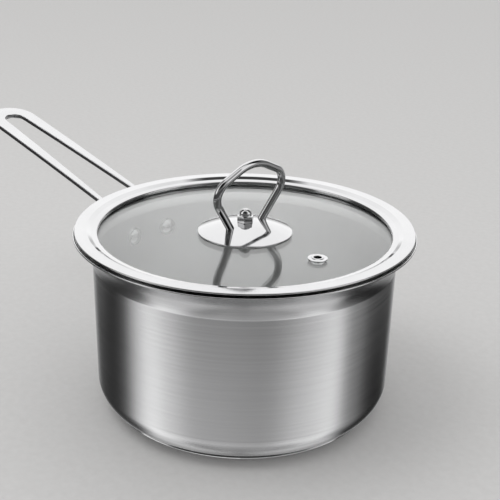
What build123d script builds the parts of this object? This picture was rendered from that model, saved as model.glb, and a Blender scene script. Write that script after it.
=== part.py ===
from build123d import *
import os
from math import acos, asin, cos, degrees, radians, sin, sqrt

# Saucepan with a steel-framed glass lid, in millimetres, +Z up.
# The origin is the centre of the underside of the base. The handle points along +X,
# the lid's steam vent lies opposite at -X, and the lid's loop knob spans Y.
# Outlines of turned pieces are drawn with X as the radius and Y as the height.

# Pan: one drawn sheet, from the floor through the wall to a flared pouring rim.
WALL = 0.8  # sheet thickness
BODY_RADIUS = 80.0  # outer radius at the crease where the flare starts
FOOT_RADIUS = 79.1  # outer radius where the slightly tapered wall would meet the floor
FLOOR_Z = 2.7  # outside of the floor, on top of the base stack
CORNER = 14.5  # outer radius between the floor and the wall
CREASE_Z = 82.9
CREASE_RADIUS = 3.0
RIM_RADIUS, RIM_Z = 89.9, 97.9  # outer, lower edge of the rim
FLARE_BULGE = 1.5  # height of the flare's arc over its chord, towards the inside
RIM_ROUNDING = 0.3

# Base: an aluminium disc under the floor, capped by a polished steel dish.
CAP_SHEET = 0.5
CAP_FLAT_RADIUS = 62.4  # where the cap's underside starts to turn up
CAP_CORNER = 15.0
CAP_EDGE_Z = 4.3
CORE_RADIUS = 69.0

# Handle: a slotted steel bar, welded to a saddle that two rivets hold to the wall.
SADDLE_SHEET = 1.6
SADDLE_WIDTH, SADDLE_HEIGHT = 44.0, 19.0
SADDLE_Z = 72.2  # height of the saddle's centre
SADDLE_CORNER = 5.0
SEAM_GAP = 0.02  # between the saddle and the wall
RIVET_Z = 71.5
RIVET_SPACING = 25.0  # along the wall
RIVET_RADIUS, RIVET_HOLE_RADIUS = 2.5, 2.6
RIVET_BRIM_RADIUS, RIVET_BRIM = 5.1, 0.7
RIVET_DOME_RADIUS, RIVET_DOME = 4.1, 1.9
RIVET_SEAT = 0.05  # play between a rivet's heads and the sheets they hold
BAR = 2.6  # thickness of the handle's bar
BAR_FACE = 81.6  # inner face of the bar's down-turned foot
FOOT_Z = 76.6  # lower edge of the foot
BEND_Z = 79.3  # where the foot starts to bend into the bar
BEND_RADIUS = 5.8  # upper side of that bend
HANDLE_RISE = 13.4  # degrees above level at the bend
HANDLE_ARCH = 5100.0  # radius of the bar's slight downward bow
HANDLE_TIP = 234.4
ROOT_HALF_WIDTH, TIP_HALF_WIDTH = 15.5, 15.3
SLOT_START, SLOT_END = 93.0, 223.7
SLOT_ROOT_HALF_WIDTH, SLOT_TIP_HALF_WIDTH = 12.9, 6.7
SLOT_CORNER = 4.0
EDGE_EASE = 0.35  # rounding of the bar's long edges

# Lid: heights are measured from the flat top of its ring, at RING_TOP.
RING_TOP = 100.4
RING_SHEET = 0.5
RING_RADIUS = 88.8
HEM_START = 85.6  # inner edge of the doubled rim
BAND_INNER, STEP_INNER, LIP_INNER = 82.6, 80.3, 77.25
STEP_DROP, LIP_DROP = 1.25, 1.7
GLASS_RADIUS, GLASS = 81.0, 4.0
GLASS_CROWN = -3.8  # top of the glass at its centre
GLASS_SAG = 0.15  # fall of the glass from the centre to SAG_RADIUS
SAG_RADIUS = 77.0
GLASS_EASE = 0.8
CHANNEL_RADIUS = 81.5  # middle of the channel's outer wall
CHANNEL_TOP, CHANNEL_BOTTOM = -3.65, -8.27  # middles of the lips over and under the glass
CHANNEL_LIP_INNER = 77.6

# Steam vent: an eyelet in a soft sleeve, crimped over a washer below the glass.
VENT_X = -51.0
VENT_BORE = 2.0
VENT_TUBE = 2.6
VENT_FLANGE, VENT_FLANGE_EDGE, VENT_FLANGE_RISE = 5.1, 0.4, 0.45
VENT_LIP, VENT_LIP_RISE = 2.9, 0.75  # raised lip round the bore
VENT_GROOVE = 3.3  # radius of the groove round that lip
VENT_EASE = 0.2
VENT_HOLE = 3.5
SLEEVE_PLAY = 0.02
VENT_WASHER_RADIUS, VENT_WASHER = 5.0, 0.6
VENT_CRIMP_RADIUS, VENT_CRIMP = 3.9, 0.7

# Knob: a wire loop welded to a domed rosette, held by a screw from below and a cap nut.
ROSETTE_SPHERE = 64.0
ROSETTE_RADIUS = 25.0
ROSETTE_SHEET = 0.7
ROSETTE_TOP = 1.75
WIRE_RADIUS = 2.1
LOOP_BASE = -3.2  # height from which the loop's corners are measured
LOOP_LEAN = 7.7  # degrees towards the vent
LOOP_FOOT = (10.45, 2.2)
LOOP_SIDE = (27.7, 26.8)
LOOP_APEX = 40.3
LOOP_SIDE_BEND, LOOP_APEX_BEND = 9.1, 22.8
NUT_FLATS, NUT_HEX, NUT_NECK, NUT_DOME_RADIUS = 8.0, 3.6, 0.2, 3.3
NUT_CHAMFER, NUT_BASE_CHAMFER = 0.5, 0.3
NUT_TURN = 8.5  # degrees
NUT_THREAD_RADIUS, NUT_THREAD_DEPTH = 2.55, 5.2
SCREW_RADIUS, SCREW_IN_NUT = 2.5, 4.6
SCREW_HEAD_RADIUS, SCREW_HEAD, SCREW_HEAD_ROUNDING = 4.6, 3.0, 1.2
RECESS_LENGTH, RECESS_WIDTH, RECESS_DEPTH = 5.2, 1.1, 1.8
GROMMET_FLANGE, GROMMET_SLEEVE = 6.0, 4.4
GLASS_KNOB_HOLE = 4.5
SCREW_CLEARANCE_HOLE = 2.7
GASKET_RADIUS, GASKET = 10.0, 1.5
WASHER_RADIUS, WASHER = 9.0, 1.2

CUT_REACH = 20.0  # how far a cutter runs past what it cuts
NEAR = 0.01


def turned(face):
    """Solid of revolution about Z."""
    return revolve(Plane.XZ * face, Axis.Z)


def sheet(path, thickness, side=Side.LEFT):
    """Face of a bent sheet: the path is one side of it and the thickness lies on the given side."""
    return make_face(offset(path, amount=thickness, side=side, closed=True))


def ring(outer, inner, low, high):
    """Plain round ring, or a disc where inner is 0."""
    return turned(Pos((outer + inner) / 2, (low + high) / 2) * Rectangle(outer - inner, high - low))


def dome_arc(start, end, bulge=1):
    """Arc of a sphere centred on the axis, from or to its apex; bulge 1 lies to the left."""
    reach, rise = abs(start[0] - end[0]), abs(start[1] - end[1])
    return RadiusArc(start, end, bulge * (reach**2 + rise**2) / 2 / rise)


def wall_radius(z):
    """Outer radius of the tapered wall at a height."""
    return FOOT_RADIUS + (BODY_RADIUS - FOOT_RADIUS) * (z - FLOOR_Z) / (CREASE_Z - FLOOR_Z)


def body_line():
    """Outside of the pan from the floor's centre to the rim."""
    floor_and_wall = FilletPolyline(
        (0, FLOOR_Z), (FOOT_RADIUS, FLOOR_Z), (BODY_RADIUS, CREASE_Z), radius=CORNER
    )
    flare = SagittaArc((BODY_RADIUS, CREASE_Z), (RIM_RADIUS, RIM_Z), FLARE_BULGE)
    return floor_and_wall + flare


def body_form():
    """Everything inside the pan's outer surface."""
    top = Polyline((RIM_RADIUS, RIM_Z), (0, RIM_Z), (0, FLOOR_Z))
    return turned(make_face(body_line() + top))


def rivet_places():
    """Places on the pan's axis, at the rivets' height, turned to face each rivet."""
    half_angle = degrees(asin(RIVET_SPACING / 2 / BODY_RADIUS))
    return [Pos(0, 0, RIVET_Z) * Rot(0, 0, side * half_angle) * Rot(0, 90, 0) for side in (-1, 1)]


def rivet_holes():
    """Cutters that drill outwards through the wall and the saddle."""
    cutter = ring(RIVET_HOLE_RADIUS, 0, BODY_RADIUS - CUT_REACH, BODY_RADIUS + CUT_REACH)
    return [place * cutter for place in rivet_places()]


def pan_body():
    shell = turned(sheet(body_line(), WALL))
    crease = shell.edges().filter_by(GeomType.CIRCLE).filter_by(
        lambda edge: abs(edge.center().Z - CREASE_Z) < NEAR and edge.radius > BODY_RADIUS - NEAR
    )
    shell = fillet(crease, CREASE_RADIUS)
    rim = shell.edges().filter_by(GeomType.CIRCLE).filter_by(
        lambda edge: edge.center().Z > RIM_Z - NEAR
    )
    return fillet(rim, RIM_ROUNDING) - rivet_holes()


def cap_line(radius_step):
    """Underside of the cap, or a line inside it by radius_step."""
    angle = degrees(acos(1 - CAP_EDGE_Z / CAP_CORNER))
    centre = (CAP_FLAT_RADIUS, CAP_CORNER)
    flat = Line((0, radius_step), (CAP_FLAT_RADIUS, radius_step))
    return flat + CenterArc(centre, CAP_CORNER - radius_step, -90, angle)


def base_cap():
    return turned(sheet(cap_line(0), CAP_SHEET))


def base_core():
    line = cap_line(CAP_SHEET)
    end = line @ 1
    inside_cap = turned(make_face(line + Polyline((end.X, end.Y), (0, end.Y), (0, CAP_SHEET))))
    return (inside_cap & ring(CORE_RADIUS, 0, 0, CAP_CORNER)) - body_form()


def saddle_outer(z):
    return wall_radius(z) + SEAM_GAP + SADDLE_SHEET


def handle_bracket():
    low, high = SADDLE_Z - SADDLE_HEIGHT / 2, SADDLE_Z + SADDLE_HEIGHT / 2
    wrap = turned(make_face(Polyline(
        (wall_radius(low) + SEAM_GAP, low),
        (saddle_outer(low), low),
        (saddle_outer(high), high),
        (wall_radius(high) + SEAM_GAP, high),
        close=True,
    )))
    outline = Pos(0, SADDLE_Z) * RectangleRounded(SADDLE_WIDTH, SADDLE_HEIGHT, SADDLE_CORNER)
    return (wrap & extrude(Plane.YZ * outline, BODY_RADIUS + CUT_REACH)) - rivet_holes()


def handle_rivets():
    """Two rivets with a brimmed dome inside the pan and a formed dome outside."""
    brim = wall_radius(RIVET_Z) - WALL - RIVET_BRIM_RADIUS**2 / 2 / BODY_RADIUS - RIVET_SEAT
    tail = saddle_outer(RIVET_Z) + RIVET_SEAT
    inner_dome = brim - RIVET_BRIM
    outline = (
        dome_arc((0, tail + RIVET_DOME), (RIVET_DOME_RADIUS, tail))
        + Polyline(
            (RIVET_DOME_RADIUS, tail),
            (RIVET_RADIUS, tail),
            (RIVET_RADIUS, brim),
            (RIVET_BRIM_RADIUS, brim),
            (RIVET_BRIM_RADIUS, inner_dome),
            (RIVET_DOME_RADIUS, inner_dome),
        )
        + dome_arc((RIVET_DOME_RADIUS, inner_dome), (0, inner_dome - RIVET_DOME))
        + Line((0, inner_dome - RIVET_DOME), (0, tail + RIVET_DOME))
    )
    rivet = turned(make_face(outline))
    return Compound(children=[place * rivet for place in rivet_places()])


def handle():
    bend_end = BEND_RADIUS * Vector(1 - sin(radians(HANDLE_RISE)), cos(radians(HANDLE_RISE)))
    bend_end += Vector(BAR_FACE, BEND_Z)
    along = Vector(cos(radians(HANDLE_RISE)), sin(radians(HANDLE_RISE)))
    reach = degrees((HANDLE_TIP + CUT_REACH - bend_end.X) / HANDLE_ARCH)
    side_line = (
        Line((BAR_FACE, FOOT_Z), (BAR_FACE, BEND_Z))
        + CenterArc((BAR_FACE + BEND_RADIUS, BEND_Z), BEND_RADIUS, 180, HANDLE_RISE - 90)
        + JernArc(start=bend_end, tangent=along, radius=HANDLE_ARCH, arc_size=-reach)
    )
    bar = extrude(Plane.XZ * sheet(side_line, BAR, Side.RIGHT), 2 * ROOT_HALF_WIDTH, both=True)
    tip_centre = HANDLE_TIP - TIP_HALF_WIDTH
    plan = make_face(
        Polyline(
            (tip_centre, TIP_HALF_WIDTH),
            (BODY_RADIUS, ROOT_HALF_WIDTH),
            (BODY_RADIUS, -ROOT_HALF_WIDTH),
            (tip_centre, -TIP_HALF_WIDTH),
        )
        + ThreePointArc((tip_centre, -TIP_HALF_WIDTH), (HANDLE_TIP, 0), (tip_centre, TIP_HALF_WIDTH))
    )
    slot_tip = SLOT_END - SLOT_TIP_HALF_WIDTH
    slot = make_face(
        Polyline(
            (slot_tip, SLOT_TIP_HALF_WIDTH),
            (SLOT_START, SLOT_ROOT_HALF_WIDTH),
            (SLOT_START, -SLOT_ROOT_HALF_WIDTH),
            (slot_tip, -SLOT_TIP_HALF_WIDTH),
        )
        + ThreePointArc((slot_tip, -SLOT_TIP_HALF_WIDTH), (SLOT_END, 0), (slot_tip, SLOT_TIP_HALF_WIDTH))
    )
    slot = fillet(slot.vertices().group_by(Axis.X)[0], SLOT_CORNER)
    loop = (bar & extrude(plan, HANDLE_TIP)) - extrude(slot, HANDLE_TIP)
    past_root = loop.edges().filter_by(lambda edge: edge.center().X > SLOT_START - EDGE_EASE)
    loop = fillet(past_root.filter_by(lambda edge: edge.length > 2 * BAR), EDGE_EASE)
    foot_back = BODY_RADIUS - BAR
    foot = Pos((BAR_FACE + BAR + foot_back) / 2, 0, (FOOT_Z + BEND_Z) / 2) * Box(
        BAR_FACE + BAR - foot_back, 2 * ROOT_HALF_WIDTH, BEND_Z - FOOT_Z
    )
    low, high = FOOT_Z - BAR, BEND_Z + BAR
    saddle_form = turned(make_face(Polyline(
        (0, low), (saddle_outer(low), low), (saddle_outer(high), high), (0, high), close=True
    )))
    return loop + (foot - saddle_form)


def glass_top(radius):
    return RING_TOP + GLASS_CROWN - GLASS_SAG * (radius / SAG_RADIUS) ** 2


def lid_glass():
    top_centre, top_edge = glass_top(0), glass_top(GLASS_RADIUS)
    outline = (
        dome_arc((0, top_centre), (GLASS_RADIUS, top_edge))
        + Line((GLASS_RADIUS, top_edge), (GLASS_RADIUS, top_edge - GLASS))
        + dome_arc((GLASS_RADIUS, top_edge - GLASS), (0, top_centre - GLASS), -1)
        + Line((0, top_centre - GLASS), (0, top_centre))
    )
    face = make_face(outline)
    disc = turned(fillet(face.vertices().group_by(Axis.X)[-1], GLASS_EASE))
    knob_hole = ring(GLASS_KNOB_HOLE, 0, RING_TOP - CUT_REACH, RING_TOP)
    vent_hole = Pos(VENT_X, 0, 0) * ring(VENT_HOLE, 0, RING_TOP - CUT_REACH, RING_TOP)
    return disc - knob_hole - vent_hole


def lid_ring():
    """One rolled strip: flat band, step, inner fold and a channel that grips the glass."""
    middle = -RING_SHEET / 2
    strip_line = FilletPolyline(
        (RING_RADIUS - RING_SHEET, middle),
        (BAND_INNER, middle),
        (STEP_INNER, middle - STEP_DROP),
        (LIP_INNER, middle - LIP_DROP),
        (LIP_INNER, CHANNEL_TOP),
        (CHANNEL_RADIUS, CHANNEL_TOP),
        (CHANNEL_RADIUS, CHANNEL_BOTTOM),
        (CHANNEL_LIP_INNER, CHANNEL_BOTTOM),
        radius=[0.8, 0.8, 0.5, 0.4, 0.4, 0.7],
    )
    strip_face = make_face(offset(strip_line, amount=RING_SHEET / 2, side=Side.BOTH))
    hem_length = RING_RADIUS - HEM_START
    hem = Pos(RING_RADIUS - hem_length / 2, -RING_SHEET) * SlotOverall(hem_length, 2 * RING_SHEET)
    return Pos(0, 0, RING_TOP) * turned(strip_face + hem)


def vent_pieces():
    """Eyelet, sleeve and washer of the steam vent, standing at the lid's centre."""
    top = glass_top(abs(VENT_X) - VENT_FLANGE)
    bottom = glass_top(abs(VENT_X) + VENT_WASHER_RADIUS) - GLASS
    crimp = bottom - VENT_WASHER
    outline = make_face(Polyline(
        (VENT_BORE, top + VENT_LIP_RISE),
        (VENT_LIP, top + VENT_LIP_RISE),
        (VENT_GROOVE, top + VENT_FLANGE_RISE),
        (VENT_FLANGE, top + VENT_FLANGE_EDGE),
        (VENT_FLANGE, top),
        (VENT_TUBE, top),
        (VENT_TUBE, crimp),
        (VENT_CRIMP_RADIUS, crimp),
        (VENT_CRIMP_RADIUS, crimp - VENT_CRIMP),
        (VENT_BORE, crimp - VENT_CRIMP),
        close=True,
    ))
    eased = outline.vertices().filter_by(lambda corner: corner.Y > top or corner.Y < crimp)
    eyelet = turned(fillet(eased, VENT_EASE))
    sleeve = ring(VENT_HOLE - SLEEVE_PLAY, VENT_TUBE + SLEEVE_PLAY, bottom, top)
    washer = ring(VENT_WASHER_RADIUS, VENT_TUBE + SLEEVE_PLAY, crimp, bottom)
    place = Pos(VENT_X, 0, 0)
    return {"vent_eyelet": place * eyelet, "vent_sleeve": place * sleeve, "vent_washer": place * washer}


def rosette_centre():
    return RING_TOP + ROSETTE_TOP - ROSETTE_SPHERE


def knob_rosette():
    start = degrees(acos(SCREW_CLEARANCE_HOLE / ROSETTE_SPHERE))
    end = degrees(acos(ROSETTE_RADIUS / ROSETTE_SPHERE))
    dome_line = CenterArc((0, rosette_centre()), ROSETTE_SPHERE, start, end - start)
    return turned(sheet(dome_line, ROSETTE_SHEET, Side.RIGHT))


def knob_loop():
    """Round wire bent to a rounded kite, with its feet cut to sit on the rosette."""
    lean = radians(LOOP_LEAN)
    plane = Plane(
        origin=(0, 0, RING_TOP + LOOP_BASE), x_dir=(0, 1, 0), z_dir=(cos(lean), 0, sin(lean))
    )
    (foot_y, foot_z), (side_y, side_z) = LOOP_FOOT, LOOP_SIDE
    path = plane * FilletPolyline(
        (-foot_y, foot_z),
        (-side_y, side_z),
        (0, LOOP_APEX),
        (side_y, side_z),
        (foot_y, foot_z),
        radius=[LOOP_SIDE_BEND, LOOP_APEX_BEND, LOOP_SIDE_BEND],
    )
    wire = sweep(Plane(origin=path @ 0, z_dir=path % 0) * Circle(WIRE_RADIUS), path)
    return wire - Pos(0, 0, rosette_centre()) * Sphere(ROSETTE_SPHERE)


def knob_cap_nut():
    corner = NUT_FLATS / 2 / cos(radians(30))
    neck_top = NUT_HEX + NUT_NECK
    crown = neck_top + NUT_DOME_RADIUS
    outline = (
        Polyline(
            (0, crown),
            (0, 0),
            (corner - NUT_BASE_CHAMFER, 0),
            (corner, NUT_BASE_CHAMFER),
            (corner, NUT_HEX - NUT_CHAMFER),
            (corner - 2 * NUT_CHAMFER, NUT_HEX),
            (NUT_DOME_RADIUS, NUT_HEX),
            (NUT_DOME_RADIUS, neck_top),
        )
        + RadiusArc((NUT_DOME_RADIUS, neck_top), (0, crown), -NUT_DOME_RADIUS)
    )
    hexagon = RegularPolygon(NUT_FLATS / 2, 6, major_radius=False, rotation=NUT_TURN)
    nut = turned(make_face(outline)) & extrude(hexagon, crown)
    thread = ring(NUT_THREAD_RADIUS, 0, 0, NUT_THREAD_DEPTH)
    return Pos(0, 0, RING_TOP + ROSETTE_TOP) * (nut - thread)


def knob_fixings():
    """Soft grommet, gasket, washer and screw that clamp the knob to the glass."""
    glass_high, glass_low = glass_top(0), glass_top(GASKET_RADIUS) - GLASS
    washer_high = glass_low - GASKET
    head_high = washer_high - WASHER
    rosette_under = ROSETTE_SPHERE - ROSETTE_SHEET
    flange_top = rosette_centre() + sqrt(rosette_under**2 - GROMMET_FLANGE**2)
    grommet = ring(GROMMET_FLANGE, SCREW_CLEARANCE_HOLE, glass_high, flange_top)
    grommet += ring(GROMMET_SLEEVE, SCREW_CLEARANCE_HOLE, glass_low, glass_high)
    gasket = ring(GASKET_RADIUS, SCREW_CLEARANCE_HOLE, washer_high, glass_low)
    washer = ring(WASHER_RADIUS, SCREW_CLEARANCE_HOLE, head_high, washer_high)
    shank = ring(SCREW_RADIUS, 0, head_high, RING_TOP + ROSETTE_TOP + SCREW_IN_NUT)
    head = ring(SCREW_HEAD_RADIUS, 0, head_high - SCREW_HEAD, head_high)
    head = fillet(head.edges().sort_by(Axis.Z)[0], SCREW_HEAD_ROUNDING)
    recess_z = head_high - SCREW_HEAD + RECESS_DEPTH / 2
    recess = [
        Pos(0, 0, recess_z) * Rot(0, 0, turn) * Box(RECESS_LENGTH, RECESS_WIDTH, RECESS_DEPTH)
        for turn in (0, 90)
    ]
    return {
        "knob_grommet": grommet,
        "knob_gasket": gasket,
        "knob_washer": washer,
        "knob_screw": shank + head - recess,
    }


parts = {
    "pan_body": pan_body(),
    "base_core": base_core(),
    "base_cap": base_cap(),
    "handle_bracket": handle_bracket(),
    "handle": handle(),
    "handle_rivets": handle_rivets(),
    "lid_glass": lid_glass(),
    "lid_ring": lid_ring(),
    "knob_rosette": knob_rosette(),
    "knob_loop": knob_loop(),
    "knob_cap_nut": knob_cap_nut(),
    **vent_pieces(),
    **knob_fixings(),
}

os.makedirs("parts", exist_ok=True)
for name, part in parts.items():
    export_step(part, f"parts/{name}.step")
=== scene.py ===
import math

import bmesh
import bpy
from mathutils import Matrix, Vector

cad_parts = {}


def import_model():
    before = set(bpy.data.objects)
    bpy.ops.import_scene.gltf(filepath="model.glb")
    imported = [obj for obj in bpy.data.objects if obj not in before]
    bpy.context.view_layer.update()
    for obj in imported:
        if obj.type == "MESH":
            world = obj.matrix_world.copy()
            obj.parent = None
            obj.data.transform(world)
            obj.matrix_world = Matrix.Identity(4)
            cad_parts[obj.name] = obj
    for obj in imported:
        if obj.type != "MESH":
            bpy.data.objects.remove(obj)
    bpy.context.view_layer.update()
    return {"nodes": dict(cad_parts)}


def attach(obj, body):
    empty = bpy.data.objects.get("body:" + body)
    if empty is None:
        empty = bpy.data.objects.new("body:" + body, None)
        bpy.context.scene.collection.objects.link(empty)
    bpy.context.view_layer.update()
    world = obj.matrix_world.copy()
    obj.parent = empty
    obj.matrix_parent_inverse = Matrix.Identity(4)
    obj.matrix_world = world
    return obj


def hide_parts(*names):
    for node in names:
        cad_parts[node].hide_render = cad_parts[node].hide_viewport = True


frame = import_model()

MM = 0.001
FULL_TURN = 2 * math.pi
UP = Vector((0, 0, 1))

# Dimensions shared with the CAD source, in millimetres.
WALL, BODY_RADIUS, FOOT_RADIUS, FLOOR_Z = 0.8, 80.0, 79.1, 2.7
CORNER, CREASE_Z, CREASE_RADIUS = 14.5, 82.9, 3.0
RIM_RADIUS, RIM_Z, FLARE_BULGE = 89.9, 97.9, 1.5
CAP_SHEET, CAP_FLAT_RADIUS, CAP_CORNER, CAP_EDGE_Z = 0.5, 62.4, 15.0, 4.3
RING_TOP, RING_SHEET, RING_RADIUS, HEM_START = 100.4, 0.5, 88.8, 85.6
BAND_INNER, STEP_INNER, LIP_INNER = 82.6, 80.3, 77.25
STEP_DROP, LIP_DROP = 1.25, 1.7
CHANNEL_RADIUS, CHANNEL_TOP, CHANNEL_BOTTOM, CHANNEL_LIP_INNER = 81.5, -3.65, -8.27, 77.6
GLASS_RADIUS, GLASS, GLASS_CROWN, GLASS_SAG, SAG_RADIUS = 81.0, 4.0, -3.8, 0.15, 77.0
GLASS_EASE, GLASS_KNOB_HOLE = 0.8, 4.5
VENT_X, VENT_HOLE = -51.0, 3.5
VENT_BORE, VENT_TUBE, VENT_GROOVE, VENT_EASE = 2.0, 2.6, 3.3, 0.2
VENT_FLANGE, VENT_FLANGE_EDGE, VENT_FLANGE_RISE = 5.1, 0.4, 0.45
VENT_LIP, VENT_LIP_RISE = 2.9, 0.75
VENT_WASHER_RADIUS, VENT_WASHER, VENT_CRIMP_RADIUS, VENT_CRIMP = 5.0, 0.6, 3.9, 0.7
ROSETTE_SPHERE, ROSETTE_RADIUS, ROSETTE_SHEET, ROSETTE_TOP = 64.0, 25.0, 0.7, 1.75
SCREW_CLEARANCE_HOLE = 2.7
WIRE_RADIUS, LOOP_BASE, LOOP_LEAN = 2.1, -3.2, 7.7
LOOP_FOOT, LOOP_SIDE, LOOP_APEX = (10.45, 2.2), (27.7, 26.8), 40.3
LOOP_SIDE_BEND, LOOP_APEX_BEND = 9.1, 22.8

# Fineness of the meshes: sides round a turned piece, and round the wire.
PAN_SIDES, CAP_SIDES, PANE_SIDES, ROSETTE_SIDES, EYELET_SIDES, CUTTER_SIDES = 288, 256, 240, 192, 96, 64
WIRE_SIDES, WIRE_STEP = 48, 1.5
SHARP, PANE_SHARP, WIRE_SHARP = 32, 40, 50  # degrees between faces from which an edge is kept sharp

# The photograph's camera, as angles, a distance in millimetres and a slight roll.
CAMERA_AZIMUTH, CAMERA_ELEVATION, CAMERA_DISTANCE = 225.0, 20.43, 525.7
CAMERA_ROLL, CAMERA_LENS, SENSOR = 1.21, 72.0, 36.0
AIM_X, AIM_Y = -0.0094, 0.0517  # where the lid's centre lies in the picture, from its middle, in widths

FLOOR_REACH = 6.0  # metres from the object to the floor's edges
KEY_SIZE, KEY_POWER = 0.9, 5.0
KEY_PLACE = (0.2, -0.7, 1.5)  # towards the camera, to its right and up, in metres


# ---------------------------------------------------------------- outlines

def arc(centre, radius, start, end, steps):
    """Points of an arc, angles in degrees."""
    points = []
    for i in range(steps + 1):
        angle = math.radians(start + (end - start) * i / steps)
        points.append((centre[0] + radius * math.cos(angle), centre[1] + radius * math.sin(angle)))
    return points


def bulged(start, end, sagitta, steps):
    """Points of an arc over a chord; a positive sagitta bulges to the left of its direction."""
    a, b = Vector(start), Vector(end)
    chord = b - a
    radius = (chord.length**2 / 4 + sagitta**2) / 2 / abs(sagitta)
    left = Vector((-chord.y, chord.x)).normalized()
    side = math.copysign(1, sagitta)
    centre = (a + b) / 2 + left * (sagitta - side * radius)
    first = math.atan2(a.y - centre.y, a.x - centre.x)
    sweep = -side * 2 * math.asin(min(1, chord.length / 2 / radius))
    return [
        (centre.x + radius * math.cos(first + sweep * i / steps),
         centre.y + radius * math.sin(first + sweep * i / steps))
        for i in range(steps + 1)
    ]


def rounded(points, radii, steps=8, closed=False):
    """A polyline with each inner corner replaced by an arc."""
    points = [Vector(p) for p in points]
    count = len(points)
    out = []
    for i, corner in enumerate(points):
        inner = closed or 0 < i < count - 1
        radius = radii[i % len(radii)] if closed else (radii[i - 1] if inner else 0)
        if not inner or radius <= 0:
            out.append(tuple(corner))
            continue
        before = (points[i - 1] - corner).normalized()
        after = (points[(i + 1) % count] - corner).normalized()
        half = before.angle(after) / 2
        reach = radius / math.tan(half)
        centre = corner + (before + after).normalized() * radius / math.sin(half)
        start = corner + before * reach - centre
        turn = start.angle_signed(corner + after * reach - centre)
        for k in range(steps + 1):
            angle = -turn * k / steps
            c, s = math.cos(angle), math.sin(angle)
            out.append((centre.x + start.x * c - start.y * s, centre.y + start.x * s + start.y * c))
    return out


def shifted(points, amount):
    """An open line moved to its left by an amount."""
    points = [Vector(p) for p in points]
    out = []
    for i, p in enumerate(points):
        before = (p - points[i - 1]).normalized() if i else None
        after = (points[i + 1] - p).normalized() if i < len(points) - 1 else None
        if before is None or after is None:
            along = after if before is None else before
            out.append(p + Vector((-along.y, along.x)) * amount)
            continue
        along = (before + after).normalized()
        out.append(p + Vector((-along.y, along.x)) * amount / max(0.3, along.dot(before)))
    return [tuple(p) for p in out]


def held(points, closed, margin=0.06, shortest=0.9):
    """Adds points close to both ends of each long run, so that shading stays flat along it."""
    out = []
    count = len(points)
    for i in range(count):
        a = Vector(points[i])
        out.append(tuple(a))
        if i == count - 1 and not closed:
            break
        b = Vector(points[(i + 1) % count])
        run = (b - a).length
        if run > shortest:
            for share in (margin / run, 1 - margin / run):
                out.append(tuple(a.lerp(b, share)))
    return out


# ---------------------------------------------------------------- meshes

def finish_mesh(name, verts, faces, sharp=SHARP):
    """An object of merged, smooth faces, from points in millimetres."""
    mesh = bpy.data.meshes.new(name)
    mesh.from_pydata([Vector(v) * MM for v in verts], [], faces)
    work = bmesh.new()
    work.from_mesh(mesh)
    bmesh.ops.remove_doubles(work, verts=work.verts, dist=1e-7)
    bmesh.ops.recalc_face_normals(work, faces=work.faces)
    for face in work.faces:
        face.smooth = True
    work.to_mesh(mesh)
    work.free()
    mesh.set_sharp_from_angle(angle=math.radians(sharp))
    piece = bpy.data.objects.new(name, mesh)
    bpy.context.scene.collection.objects.link(piece)
    return piece


def lathe(name, outline, segments, centre=(0.0, 0.0), closed=True, sharp=SHARP):
    """A turned piece: the outline is (radius, height) about an upright axis."""
    outline = held(outline, closed)
    verts, rings, faces = [], [], []
    for radius, height in outline:
        if radius < 1e-6:
            rings.append([len(verts)] * segments)
            verts.append((centre[0], centre[1], height))
            continue
        rings.append(list(range(len(verts), len(verts) + segments)))
        for k in range(segments):
            angle = FULL_TURN * k / segments
            x, y = radius * math.cos(angle), radius * math.sin(angle)
            verts.append((centre[0] + x, centre[1] + y, height))
    pairs = list(zip(rings, rings[1:])) + ([(rings[-1], rings[0])] if closed else [])
    for low, high in pairs:
        for k in range(segments):
            n = (k + 1) % segments
            face = []
            for v in (low[k], low[n], high[n], high[k]):
                if v not in face:
                    face.append(v)
            if len(face) > 2:
                faces.append(face)
    return finish_mesh(name, verts, faces, sharp)


def stand_for(piece, node, body):
    """A piece takes a CAD node's place on its body, and the node is hidden."""
    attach(piece, body)
    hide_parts(node)


# ---------------------------------------------------------------- pan

RIM_NOSE, NOSE_STEPS = 0.42 * WALL, 8  # how far the rim's rounded edge reaches, and its steps


def creased(wall, flare):
    """The wall and the flare joined by a soft crease."""
    up = (Vector(wall[-1]) - Vector(wall[-2])).normalized()
    out = (Vector(flare[1]) - Vector(flare[0])).normalized()
    reach = CREASE_RADIUS * math.tan(up.angle(out) / 2)
    crease = Vector(wall[-1])
    steps = [up * -reach, up * -0.35 * reach, out * 0.35 * reach, out * reach]
    return wall[:-1] + [tuple(crease + step) for step in steps] + flare[1:]


def pan_outline():
    """Outside of the sheet from the floor's centre to the rim, then back along its inside."""
    wall = rounded([(0, FLOOR_Z), (FOOT_RADIUS, FLOOR_Z), (BODY_RADIUS, CREASE_Z)], [CORNER], steps=20)
    flare = bulged((BODY_RADIUS, CREASE_Z), (RIM_RADIUS, RIM_Z), FLARE_BULGE, steps=24)
    line = creased(wall, flare)
    inside = shifted(line, WALL)
    inside[0] = (0.0, FLOOR_Z + WALL)
    end_out, end_in = Vector(line[-1]), Vector(inside[-1])
    along = (Vector(line[-1]) - Vector(line[-2])).normalized() * RIM_NOSE
    across = (end_in - end_out) / 2
    middle = (end_out + end_in) / 2 - along
    nose = []
    for k in range(1, NOSE_STEPS):
        angle = math.pi * k / NOSE_STEPS
        nose.append(tuple(middle - across * math.cos(angle) + along * math.sin(angle)))
    line[-1] = tuple(end_out - along)
    inside[-1] = tuple(end_in - along)
    return line + nose + inside[::-1]


pan = lathe("pan_shell", pan_outline(), PAN_SIDES, closed=False)
stand_for(pan, "pan_body", "pan")


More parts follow.
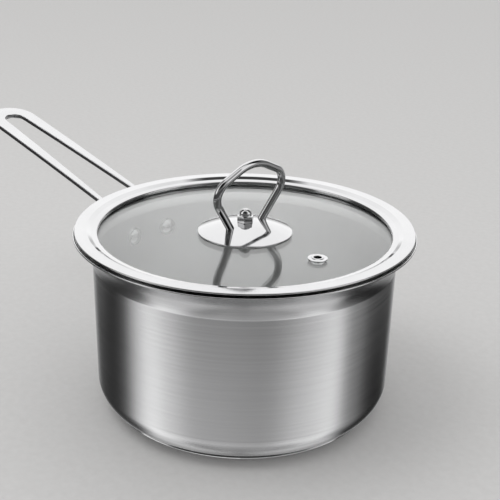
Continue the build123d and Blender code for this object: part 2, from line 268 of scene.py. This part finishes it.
def cap_outline():
    """A shallow dish, flat below, whose edge turns up against the pan."""
    angle = math.degrees(math.acos(1 - CAP_EDGE_Z / CAP_CORNER))
    centre = (CAP_FLAT_RADIUS, CAP_CORNER)
    outer = [(0.0, 0.0)] + arc(centre, CAP_CORNER, -90, -90 + angle, 16)
    inner = [(0.0, CAP_SHEET)] + arc(centre, CAP_CORNER - CAP_SHEET, -90, -90 + angle, 16)
    return outer + inner[::-1]


cap = lathe("base_dish", cap_outline(), CAP_SIDES, closed=False)
stand_for(cap, "base_cap", "pan")


# ---------------------------------------------------------------- lid

def ring_outline():
    """The rolled strip of the lid's ring, with a doubled, rounded hem at its outer edge."""
    middle = -RING_SHEET / 2
    line = rounded(
        [
            (HEM_START, middle),
            (BAND_INNER, middle),
            (STEP_INNER, middle - STEP_DROP),
            (LIP_INNER, middle - LIP_DROP),
            (LIP_INNER, CHANNEL_TOP),
            (CHANNEL_RADIUS, CHANNEL_TOP),
            (CHANNEL_RADIUS, CHANNEL_BOTTOM),
            (CHANNEL_LIP_INNER, CHANNEL_BOTTOM),
        ],
        [0.8, 0.8, 0.5, 0.4, 0.4, 0.7],
        8,
    )
    half = RING_SHEET / 2
    top, under = shifted(line, -half), shifted(line, half)
    hem = arc((RING_RADIUS - RING_SHEET, -RING_SHEET), RING_SHEET, 90, -90, steps=16)
    fold = arc((HEM_START + half, -1.5 * RING_SHEET), half, -90, -270, steps=10)
    end = [
        (CHANNEL_LIP_INNER - half * 0.7, CHANNEL_BOTTOM - half * 0.7),
        (CHANNEL_LIP_INNER - half, CHANNEL_BOTTOM),
        (CHANNEL_LIP_INNER - half * 0.7, CHANNEL_BOTTOM + half * 0.7),
    ]
    points = hem + fold + under[1:] + end + top[:0:-1]
    return [(radius, height + RING_TOP) for radius, height in points]


ring = lathe("lid_frame", ring_outline(), PAN_SIDES)
stand_for(ring, "lid_ring", "lid")


def glass_top(radius):
    """Height of the glass's upper face."""
    return RING_TOP + GLASS_CROWN - GLASS_SAG * (radius / SAG_RADIUS) ** 2


def glass_outline():
    """The disc round its knob hole, with eased edges."""
    steps = 24
    radii = [GLASS_KNOB_HOLE + (GLASS_RADIUS - GLASS_KNOB_HOLE) * i / steps for i in range(steps + 1)]
    top = [(r, glass_top(r)) for r in radii]
    low = [(r, z - GLASS) for r, z in top]
    corners = [top[-1], low[-1]]
    edge = rounded([top[-2], *corners, low[-2]], [GLASS_EASE, GLASS_EASE], 8)
    return top[:-1] + edge[1:-1] + low[::-1][1:]


def pane_with_vent():
    """The glass disc, with the vent's hole cut through it."""
    bottom = 80.0  # well below the glass
    pane = lathe("lid_pane", glass_outline(), PANE_SIDES, sharp=PANE_SHARP)
    cutter = lathe(
        "vent_cutter",
        [(0, bottom), (VENT_HOLE, bottom), (VENT_HOLE, RING_TOP), (0, RING_TOP)],
        CUTTER_SIDES,
        centre=(VENT_X, 0.0),
        closed=False,
    )
    cut = pane.modifiers.new("vent", "BOOLEAN")
    cut.operation, cut.solver, cut.object = "DIFFERENCE", "EXACT", cutter
    graph = bpy.context.evaluated_depsgraph_get()
    mesh = bpy.data.meshes.new_from_object(pane.evaluated_get(graph))
    pane.modifiers.clear()
    pane.data = mesh
    bpy.data.objects.remove(cutter)
    for polygon in mesh.polygons:
        polygon.use_smooth = True
    mesh.set_sharp_from_angle(angle=math.radians(PANE_SHARP))
    return pane


pane = pane_with_vent()
stand_for(pane, "lid_glass", "lid")


def eyelet_outline():
    """The vent's flange with its raised lip, the tube and the crimp below the glass."""
    top = glass_top(abs(VENT_X) - VENT_FLANGE)
    crimp = glass_top(abs(VENT_X) + VENT_WASHER_RADIUS) - GLASS - VENT_WASHER
    corners = [
        (VENT_BORE, top + VENT_LIP_RISE, VENT_EASE),
        (VENT_LIP, top + VENT_LIP_RISE, VENT_EASE),
        (VENT_GROOVE, top + VENT_FLANGE_RISE, VENT_EASE),
        (VENT_FLANGE, top + VENT_FLANGE_EDGE, VENT_EASE),
        (VENT_FLANGE, top, 0),
        (VENT_TUBE, top, 0),
        (VENT_TUBE, crimp, 0),
        (VENT_CRIMP_RADIUS, crimp, 0),
        (VENT_CRIMP_RADIUS, crimp - VENT_CRIMP, VENT_EASE),
        (VENT_BORE, crimp - VENT_CRIMP, VENT_EASE),
    ]
    return rounded([c[:2] for c in corners], [c[2] for c in corners], steps=6, closed=True)


eyelet = lathe("vent_collar", eyelet_outline(), EYELET_SIDES, centre=(VENT_X, 0.0))
stand_for(eyelet, "vent_eyelet", "lid")


# ---------------------------------------------------------------- knob

ROSETTE_CENTRE_Z = RING_TOP + ROSETTE_TOP - ROSETTE_SPHERE
WIRE_SEAT = 0.01  # gap between the wire's feet and the dome


def rosette_outline():
    """A dished sheet of even thickness, open in the middle for the screw."""
    start = math.degrees(math.acos(SCREW_CLEARANCE_HOLE / ROSETTE_SPHERE))
    end = math.degrees(math.acos(ROSETTE_RADIUS / ROSETTE_SPHERE))
    centre = (0.0, ROSETTE_CENTRE_Z)
    steps = 28
    top = arc(centre, ROSETTE_SPHERE, start, end, steps)
    under = arc(centre, ROSETTE_SPHERE - ROSETTE_SHEET, end, start, steps)
    return rounded(top + under, [0] * steps + [0.2, 0.2] + [0] * steps, steps=4, closed=True)


rosette = lathe("rosette_dome", rosette_outline(), ROSETTE_SIDES)
stand_for(rosette, "knob_rosette", "lid")


def kite_line():
    """Middle of the wire in the loop's own plane, in even, short steps."""
    (foot_y, foot_z), (side_y, side_z) = LOOP_FOOT, LOOP_SIDE
    corners = [(-foot_y, foot_z), (-side_y, side_z), (0, LOOP_APEX), (side_y, side_z), (foot_y, foot_z)]
    bends = [LOOP_SIDE_BEND, LOOP_APEX_BEND, LOOP_SIDE_BEND]
    flat = [Vector(p) for p in rounded(corners, bends, steps=32)]
    line = flat[:1]
    for here, there in zip(flat, flat[1:]):
        parts = int((there - here).length / WIRE_STEP) + 1
        line += [here + (there - here) * (k + 1) / parts for k in range(parts)]
    return line


def onto_rosette(point, ahead):
    """A point slid along the wire until it meets the rosette's dome."""
    from_centre = point - Vector((0, 0, ROSETTE_CENTRE_Z))
    b = from_centre.dot(ahead)
    c = from_centre.length_squared - (ROSETTE_SPHERE + WIRE_SEAT) ** 2
    root = math.sqrt(max(0.0, b * b - c))
    return point + ahead * min((-b - root, -b + root), key=abs)


def grip_wire():
    """Round wire along a rounded kite, its feet trimmed to the rosette's dome."""
    lean = math.radians(LOOP_LEAN)
    origin = Vector((0, 0, RING_TOP + LOOP_BASE))
    across, rise = Vector((0, 1, 0)), Vector((-math.sin(lean), 0, math.cos(lean)))
    normal = across.cross(rise)
    line = kite_line()
    last = len(line) - 1
    verts, faces = [], []
    for i, p in enumerate(line):
        before = line[i] - line[i - 1] if i else line[1] - line[0]
        after = line[i + 1] - line[i] if i < last else before
        along = (before.normalized() + after.normalized()).normalized()
        middle = origin + across * p.x + rise * p.y
        ahead = (across * along.x + rise * along.y).normalized()
        outward = rise * along.x - across * along.y
        for k in range(WIRE_SIDES):
            angle = FULL_TURN * k / WIRE_SIDES
            v = middle + (outward * math.cos(angle) + normal * math.sin(angle)) * WIRE_RADIUS
            verts.append(tuple(onto_rosette(v, ahead) if i in (0, last) else v))
    for i in range(last):
        for k in range(WIRE_SIDES):
            n = (k + 1) % WIRE_SIDES
            low, high = i * WIRE_SIDES, (i + 1) * WIRE_SIDES
            faces.append([low + k, low + n, high + n, high + k])
    faces.append(list(range(WIRE_SIDES)))
    faces.append(list(range(last * WIRE_SIDES, (last + 1) * WIRE_SIDES)))
    return finish_mesh("grip_wire", verts, faces, WIRE_SHARP)


wire = grip_wire()
stand_for(wire, "knob_loop", "lid")


# ---------------------------------------------------------------- materials

class Nodes:
    """Short way to write a node tree."""

    def __init__(self, tree):
        self.tree = tree
        tree.nodes.clear()

    def link(self, a, b):
        self.tree.links.new(a, b)

    def put(self, socket, value):
        """Links another node's output, or sets a plain value."""
        if isinstance(value, bpy.types.NodeSocket):
            self.link(value, socket)
        else:
            socket.default_value = value

    def math(self, operation, *values):
        node = self.tree.nodes.new("ShaderNodeMath")
        node.operation = operation
        for socket, value in zip(node.inputs, values):
            self.put(socket, value)
        return node.outputs[0]

    def mapped(self, value, low, high, to_low, to_high):
        """A value's range carried evenly to another."""
        node = self.tree.nodes.new("ShaderNodeMapRange")
        for key, item in (("Value", value), ("From Min", low), ("From Max", high),
                          ("To Min", to_low), ("To Max", to_high)):
            self.put(node.inputs[key], item)
        return node.outputs[0]

    def position(self):
        node = self.tree.nodes.new("ShaderNodeTexCoord")
        return node.outputs["Object"]

    def split(self, vector):
        node = self.tree.nodes.new("ShaderNodeSeparateXYZ")
        self.link(vector, node.inputs[0])
        return node.outputs

    def join(self, x, y, z):
        node = self.tree.nodes.new("ShaderNodeCombineXYZ")
        for socket, value in zip(node.inputs, (x, y, z)):
            self.put(socket, value)
        return node.outputs[0]

    def noise(self, vector, scale, detail, roughness):
        node = self.tree.nodes.new("ShaderNodeTexNoise")
        self.link(vector, node.inputs["Vector"])
        node.inputs["Scale"].default_value = scale
        node.inputs["Detail"].default_value = detail
        node.inputs["Roughness"].default_value = roughness
        return node.outputs["Fac"]

    def ramp(self, value, stops):
        """Tones between stops of (place, tone); a ramp takes at most 32."""
        node = self.tree.nodes.new("ShaderNodeValToRGB")
        self.link(value, node.inputs[0])
        elements = node.color_ramp.elements
        while len(elements) < len(stops):
            elements.new(0.5)
        for element, (place, tone) in zip(elements, stops):
            element.position = place
            element.color = (*tone, 1) if isinstance(tone, tuple) else (tone, tone, tone, 1)
        return node.outputs[0]

    def bump(self, height, distance):
        node = self.tree.nodes.new("ShaderNodeBump")
        self.link(height, node.inputs["Height"])
        node.inputs["Distance"].default_value = distance
        node.inputs["Strength"].default_value = 1.0
        return node.outputs[0]

    def around_axis(self):
        node = self.tree.nodes.new("ShaderNodeTangent")
        node.direction_type, node.axis = "RADIAL", "Z"
        return node.outputs[0]


class Finish(Nodes):
    """A material with one Principled shader."""

    def __init__(self, name):
        self.material = bpy.data.materials.new(name)
        self.material.use_nodes = True
        super().__init__(self.material.node_tree)
        out = self.tree.nodes.new("ShaderNodeOutputMaterial")
        self.shader = self.tree.nodes.new("ShaderNodeBsdfPrincipled")
        self.link(self.shader.outputs[0], out.inputs["Surface"])

    def set(self, **values):
        for key, value in values.items():
            self.put(self.shader.inputs[key.replace("_", " ")], value)


def turned_coordinates(n, around, along, offset=0.0):
    """Coordinates stretched round the axis: fine along the outline, long round it."""
    x, y, z = n.split(n.position())
    radius = n.math("SQRT", n.math("ADD", n.math("MULTIPLY", x, x), n.math("MULTIPLY", y, y)))
    run = n.math("MULTIPLY", n.math("SUBTRACT", z, radius), along)
    return n.join(n.math("MULTIPLY", x, around), n.math("MULTIPLY", y, around), n.math("ADD", run, offset))


def brushed_steel(name, tone, contrast, rough_low, rough_high, anisotropy, grain_depth):
    """Steel with a fine grain round the axis."""
    n = Finish(name)
    fine = n.noise(turned_coordinates(n, 5, 1500), 1.0, 3.0, 0.6)
    broad = n.noise(turned_coordinates(n, 2, 420, 3.7), 1.0, 3.0, 0.6)
    cloud = n.noise(n.position(), 16.0, 3.0, 0.55)
    mixed = n.math("ADD", n.math("MULTIPLY", fine, 0.72), n.math("MULTIPLY", broad, 0.28))
    low, high = [c * (1 - contrast) for c in tone], [c * (1 + contrast) for c in tone]
    n.set(
        Base_Color=n.ramp(mixed, [(0.3, tuple(low)), (0.7, tuple(high))]),
        Metallic=1.0,
        Roughness=n.math(
            "ADD", n.mapped(mixed, 0.3, 0.7, rough_low, rough_high), n.mapped(cloud, 0.3, 0.7, -0.02, 0.02)
        ),
        Anisotropic=anisotropy,
        Anisotropic_Rotation=0.25,
        Tangent=n.around_axis(),
        Normal=n.bump(mixed, grain_depth),
    )
    return n.material


def polished_steel(name, tone, rough_low, rough_high, turned=True):
    """Mirror steel with faint smudges and polishing lines."""
    n = Finish(name)
    smudge = n.noise(n.position(), 34.0, 4.0, 0.6)
    if turned:
        lines = n.noise(turned_coordinates(n, 22, 3200), 1.0, 2.0, 0.6)
    else:
        lines = n.noise(n.position(), 900.0, 2.0, 0.6)
    speck = n.noise(n.position(), 260.0, 2.0, 0.5)
    low, high = [c * 0.96 for c in tone], [min(1.0, c * 1.03) for c in tone]
    relief = n.math("ADD", n.math("MULTIPLY", lines, 0.6), n.math("MULTIPLY", speck, 0.4))
    n.set(
        Base_Color=n.ramp(smudge, [(0.3, tuple(low)), (0.7, tuple(high))]),
        Metallic=1.0,
        Roughness=n.math(
            "ADD", n.mapped(smudge, 0.35, 0.7, rough_low, rough_high), n.mapped(lines, 0.45, 0.75, 0.0, 0.03)
        ),
        Normal=n.bump(relief, 0.000004),
    )
    return n.material


def clear_glass():
    n = Finish("clear_glass")
    smear = n.noise(n.position(), 22.0, 5.0, 0.65)
    n.set(
        Base_Color=n.ramp(smear, [(0.3, (0.965, 0.985, 0.975)), (0.8, (0.985, 0.995, 0.99))]),
        Roughness=n.mapped(smear, 0.5, 0.85, 0.0, 0.035),
        IOR=1.5,
        Transmission_Weight=1.0,
    )
    return n.material


def silicone():
    n = Finish("silicone")
    dust = n.noise(n.position(), 420.0, 3.0, 0.6)
    n.set(
        Base_Color=n.ramp(dust, [(0.3, (0.66, 0.67, 0.66)), (0.7, (0.8, 0.8, 0.79))]),
        Roughness=n.mapped(dust, 0.3, 0.7, 0.4, 0.55),
        Transmission_Weight=0.35,
        IOR=1.41,
        Normal=n.bump(dust, 0.00001),
    )
    return n.material


def aluminium():
    n = Finish("aluminium")
    lines = n.noise(turned_coordinates(n, 20, 2000), 1.0, 2.0, 0.6)
    n.set(
        Base_Color=n.ramp(lines, [(0.3, (0.66, 0.66, 0.67)), (0.7, (0.78, 0.78, 0.79))]),
        Metallic=1.0,
        Roughness=n.mapped(lines, 0.3, 0.7, 0.32, 0.45),
        Normal=n.bump(lines, 0.00001),
    )
    return n.material


outside = brushed_steel(
    "steel_brushed", (0.62, 0.62, 0.625),
    contrast=0.07, rough_low=0.21, rough_high=0.26, anisotropy=0.8, grain_depth=0.000003,
)
inside = brushed_steel(
    "steel_satin", (0.78, 0.78, 0.78),
    contrast=0.015, rough_low=0.29, rough_high=0.31, anisotropy=0.4, grain_depth=0.0000005,
)
mirror = polished_steel("steel_mirror", (0.54, 0.54, 0.545), rough_low=0.04, rough_high=0.08)
HARDWARE = (0.56, 0.56, 0.565)  # tone of the handle and the small pieces
mirror_bar = polished_steel("steel_bar", HARDWARE, rough_low=0.08, rough_high=0.14, turned=False)
mirror_small = polished_steel("steel_small", HARDWARE, rough_low=0.03, rough_high=0.06, turned=False)
glass = clear_glass()
soft = silicone()
core = aluminium()


def paint(piece, *materials):
    piece.data.materials.clear()
    for material in materials:
        piece.data.materials.append(material)


def paint_pan(piece):
    """Brushed outside, satin inside, polished rim."""
    paint(piece, outside, inside, mirror)
    satin, polished = 1, 2
    for polygon in piece.data.polygons:
        centre, normal = polygon.center / MM, polygon.normal
        radius = math.hypot(centre.x, centre.y)
        outward = normal.x * centre.x + normal.y * centre.y
        faces_out = outward > 0 or (normal.z < 0 and centre.z < FLOOR_Z + WALL / 2)
        if radius > RIM_RADIUS - WALL * 0.4 and centre.z > RIM_Z - WALL * 0.45:
            polygon.material_index = polished
        elif not faces_out or normal.z > 0.5:
            polygon.material_index = satin


paint_pan(pan)
paint(cap, mirror)
paint(ring, mirror)
paint(pane, glass)
paint(eyelet, mirror_small)
paint(rosette, mirror)
paint(wire, mirror_small)
for node, material in {
    "base_core": core,
    "handle_bracket": mirror_bar,
    "handle": mirror_bar,
    "handle_rivets": mirror_small,
    "knob_cap_nut": mirror_small,
    "vent_washer": mirror_small,
    "knob_washer": mirror_small,
    "knob_screw": mirror_small,
    "vent_sleeve": soft,
    "knob_grommet": soft,
    "knob_gasket": soft,
}.items():
    paint(frame["nodes"][node], material)


# ---------------------------------------------------------------- floor, light, camera

def floor():
    """A plain pale floor, left out of the reflections, which come from the surroundings alone."""
    mesh = bpy.data.meshes.new("floor")
    corners = [(x * FLOOR_REACH, y * FLOOR_REACH, 0) for x, y in ((-1, -1), (1, -1), (1, 1), (-1, 1))]
    mesh.from_pydata(corners, [], [(0, 1, 2, 3)])
    plane = bpy.data.objects.new("floor", mesh)
    bpy.context.scene.collection.objects.link(plane)
    n = Finish("floor_paper")
    tooth = n.noise(n.position(), 220.0, 3.0, 0.6)
    n.set(
        Base_Color=n.ramp(tooth, [(0.3, (0.535, 0.53, 0.525)), (0.7, (0.565, 0.56, 0.555))]),
        Roughness=0.9,
        Specular_IOR_Level=0.1,
    )
    paint(plane, n.material)
    plane.visible_glossy = False


floor()

azimuth = math.radians(CAMERA_AZIMUTH)
TOWARDS = Vector((math.sin(azimuth), -math.cos(azimuth), 0))  # level direction from the pan to the camera
RIGHT = Vector((math.cos(azimuth), math.sin(azimuth), 0))

# Brightness of the surroundings as polished steel sees them, matched to the photograph's reflections,
# as stops of (degrees, brightness). Turns are from the photograph's side, positive to its right;
# tilts are from level, negative below.

# Below level, round the object: the wall's light and dark bands.
AROUND = [
    (-180, 0.80), (-168, 0.72), (-156, 0.36), (-147, 0.06), (-126, 0.03), (-112, 0.045), (-103, 0.11),
    (-97, 0.30), (-91, 0.74), (-84, 1.10), (-77, 1.38), (-69, 1.30), (-61, 1.04), (-53, 0.86), (-46, 0.66),
    (-38, 0.52), (-28, 0.47), (14, 0.38), (24, 0.41), (34, 0.53), (44, 0.72), (56, 0.94), (66, 1.10),
    (73, 1.18), (79, 1.02), (84, 0.62), (90, 0.34), (100, 0.22), (110, 0.05), (122, 0.01), (147, 0.02),
    (160, 0.50),
]
# What AROUND is multiplied by at each tilt: in front, and at the sides.
UNDER = [
    (-90, 1.0), (-66, 1.0), (-52, 1.8), (-44, 2.0), (-36, 1.45), (-32, 1.32), (-29, 1.05), (-26, 0.64),
    (-23, 0.4), (-18, 0.3), (0, 0.3),
]
UNDER_SIDE = [
    (-90, 1.0), (-66, 1.0), (-52, 1.1), (-44, 1.15), (-36, 1.1), (-29, 0.94), (-22, 1.12), (0, 1.12),
]
# Steeply below, which the flare under the rim shows.
AROUND_DEEP = [
    (-180, 0.30), (-145, 0.42), (-107, 0.90), (-86, 0.70), (-68, 0.85), (-60, 0.20), (-45, 0.20), (-28, 0.40),
    (0, 0.33), (30, 0.40), (45, 0.35), (54, 0.22), (62, 0.25), (68, 0.85), (88, 0.60), (110, 0.95),
    (145, 0.42), (180, 0.30),
]
# Just below level, which the handle's sides and the wire show.
LEVEL = [
    (-180, 0.80), (-150, 0.55), (-125, 0.30), (-112, 0.05), (-72, 0.05), (-60, 0.09), (60, 0.09), (75, 0.45),
    (120, 0.35), (150, 0.55), (180, 0.80),
]
# Above level in front and at the sides: upright panels by turn, and a strip by tilt added to them.
PANELS_UP = [
    (-180, 0.0), (-96, 0.0), (-91, 1.3), (-64, 1.3), (-58, 0.0), (30, 0.0), (36, 0.4), (55, 0.45),
    (60, 1.2), (86, 1.2), (92, 0.0), (180, 0.0),
]
UP_FRONT = [(0, 0.01), (8, 0.01), (13, 0.22), (25, 0.22), (31, 0.01), (90, 0.01)]
# Above level behind the object, which the ring, rosette and glass mirror to the camera.
UP_BACK = [(0, 1.5), (64, 1.5), (67, 0.5), (69.5, 0.08), (77.5, 0.08), (82, 1.2), (90, 1.2)]
OVERHEAD = 1.2  # straight above
# What comes into the pan through the glass. A ray that has been in the pan and left it again
# has crossed more than two faces of the glass.
INNER = [(0, 0.5), (50, 0.5), (70, 0.8), (90, 1.2)]
FACES_CROSSED = 2.5
BRIGHTEST = 2.0  # highest tone in any table

# Degrees over which one table gives way to the next.
SIDE_FADE, DEEP_FADE, LEVEL_FADE = (30, 68), (-58, -50), (-22, -18.5)
OVERHEAD_FADE, BACK_FADE, HORIZON_FADE = (60, 78), (132, 150), (3, 10)
# Tones that light matte surfaces, and that the camera sees behind: at level, and the rise to straight up.
EVEN, BACKDROP = (0.80, 0.25), (0.56, 0.06)


def world():
    """Surroundings: a plain backdrop, an even light for matte surfaces, and the tables for reflections."""
    made = bpy.data.worlds.new("studio")
    made.use_nodes = True
    bpy.context.scene.world = made
    n = Nodes(made.node_tree)
    out = n.tree.nodes.new("ShaderNodeOutputWorld")
    path = n.tree.nodes.new("ShaderNodeLightPath")
    coordinates = n.tree.nodes.new("ShaderNodeTexCoord").outputs["Generated"]

    def dot(vector):
        node = n.tree.nodes.new("ShaderNodeVectorMath")
        node.operation = "DOT_PRODUCT"
        n.link(coordinates, node.inputs[0])
        node.inputs[1].default_value = vector
        return node.outputs["Value"]

    def blend(share, a, b):
        node = n.tree.nodes.new("ShaderNodeMix")
        node.data_type = "FLOAT"
        n.put(node.inputs[0], share)
        n.put(node.inputs[2], a)
        n.put(node.inputs[3], b)
        return node.outputs[0]

    def smooth(value, fade):
        """A smooth step from 0 to 1 between two angles in degrees."""
        node = n.tree.nodes.new("ShaderNodeMapRange")
        node.interpolation_type = "SMOOTHSTEP"
        n.link(value, node.inputs["Value"])
        node.inputs["From Min"].default_value = math.radians(fade[0])
        node.inputs["From Max"].default_value = math.radians(fade[1])
        return node.outputs[0]

    def tones(value, low, high, stops):
        """Brightness from stops given in degrees; the ramp's own tones stay between 0 and 1."""
        share = n.mapped(value, math.radians(low), math.radians(high), 0.0, 1.0)
        tone = n.ramp(share, [((place - low) / (high - low), level / BRIGHTEST) for place, level in stops])
        return n.math("MULTIPLY", tone, BRIGHTEST)

    def rising(tone):
        """A tone at level that changes evenly towards straight up."""
        at_level, rise = tone
        return n.math("ADD", n.math("MULTIPLY", height, rise), at_level)

    level_out, level_right, height = dot(TOWARDS), dot(RIGHT), dot(UP)
    turn = n.math("ARCTAN2", level_right, level_out)
    tilt = n.math("ARCSINE", height)
    aside = n.math("ABSOLUTE", turn)

    by_tilt = blend(smooth(aside, SIDE_FADE), tones(tilt, -90, 0, UNDER), tones(tilt, -90, 0, UNDER_SIDE))
    middle = n.math("MULTIPLY", by_tilt, tones(turn, -180, 180, AROUND))
    lower = blend(smooth(tilt, DEEP_FADE), tones(turn, -180, 180, AROUND_DEEP), middle)
    lower = blend(smooth(tilt, LEVEL_FADE), lower, tones(turn, -180, 180, LEVEL))

    panels = n.math("ADD", tones(turn, -180, 180, PANELS_UP), tones(tilt, 0, 90, UP_FRONT))
    front = blend(smooth(tilt, OVERHEAD_FADE), panels, OVERHEAD)
    upper = blend(smooth(aside, BACK_FADE), front, tones(tilt, 0, 90, UP_BACK))

    outer = blend(smooth(tilt, HORIZON_FADE), lower, upper)
    into_pan = n.math("GREATER_THAN", path.outputs["Transmission Depth"], FACES_CROSSED)
    gloss = blend(into_pan, outer, tones(tilt, 0, 90, INNER))
    lit = blend(path.outputs["Is Diffuse Ray"], gloss, rising(EVEN))
    tone = blend(path.outputs["Is Camera Ray"], lit, rising(BACKDROP))
    background = n.tree.nodes.new("ShaderNodeBackground")
    n.link(tone, background.inputs["Color"])
    n.link(background.outputs[0], out.inputs["Surface"])


world()


def camera():
    """Stands at the photograph's angle, and is turned to frame the pan, so it needs no shift."""
    data = bpy.data.cameras.new("photo_camera")
    data.lens, data.sensor_width = CAMERA_LENS, SENSOR
    data.clip_start, data.clip_end = 0.01, 50
    made = bpy.data.objects.new("photo_camera", data)
    bpy.context.scene.collection.objects.link(made)
    e = math.radians(CAMERA_ELEVATION)
    back = TOWARDS * math.cos(e) + UP * math.sin(e)
    made.location = (UP * RING_TOP + back * CAMERA_DISTANCE) * MM
    up = back.cross(RIGHT)
    upright = Matrix((RIGHT, up, back))
    focal = CAMERA_LENS / SENSOR
    aim = Vector((AIM_X / focal, AIM_Y / focal, -1)).normalized()
    yaw, pitch = math.atan2(aim.x, -aim.z), math.asin(aim.y)
    roll = math.radians(CAMERA_ROLL)
    turn_yaw = Matrix((
        (math.cos(yaw), 0, -math.sin(yaw)), (0, 1, 0), (math.sin(yaw), 0, math.cos(yaw)),
    ))
    turn_pitch = Matrix((
        (1, 0, 0), (0, math.cos(pitch), -math.sin(pitch)), (0, math.sin(pitch), math.cos(pitch)),
    ))
    turn_roll = Matrix((
        (math.cos(roll), math.sin(roll), 0), (-math.sin(roll), math.cos(roll), 0), (0, 0, 1),
    ))
    to_camera = turn_yaw @ turn_pitch @ turn_roll @ upright
    made.rotation_mode = "QUATERNION"
    made.rotation_quaternion = to_camera.transposed().to_quaternion()
    bpy.context.scene.camera = made


camera()


def key_light():
    """One soft lamp that shades the floor; it doesn't show in the steel or the glass."""
    data = bpy.data.lights.new("key", "AREA")
    data.shape, data.size, data.energy = "DISK", KEY_SIZE, KEY_POWER
    lamp = bpy.data.objects.new("key", data)
    bpy.context.scene.collection.objects.link(lamp)
    towards, right, up = KEY_PLACE
    lamp.location = TOWARDS * towards + RIGHT * right + UP * up
    lamp.rotation_mode = "QUATERNION"
    lamp.rotation_quaternion = (-lamp.location).to_track_quat("-Z", "Y")
    lamp.visible_glossy = False
    lamp.visible_transmission = False


key_light()

bpy.context.scene.view_settings.view_transform = "Standard"
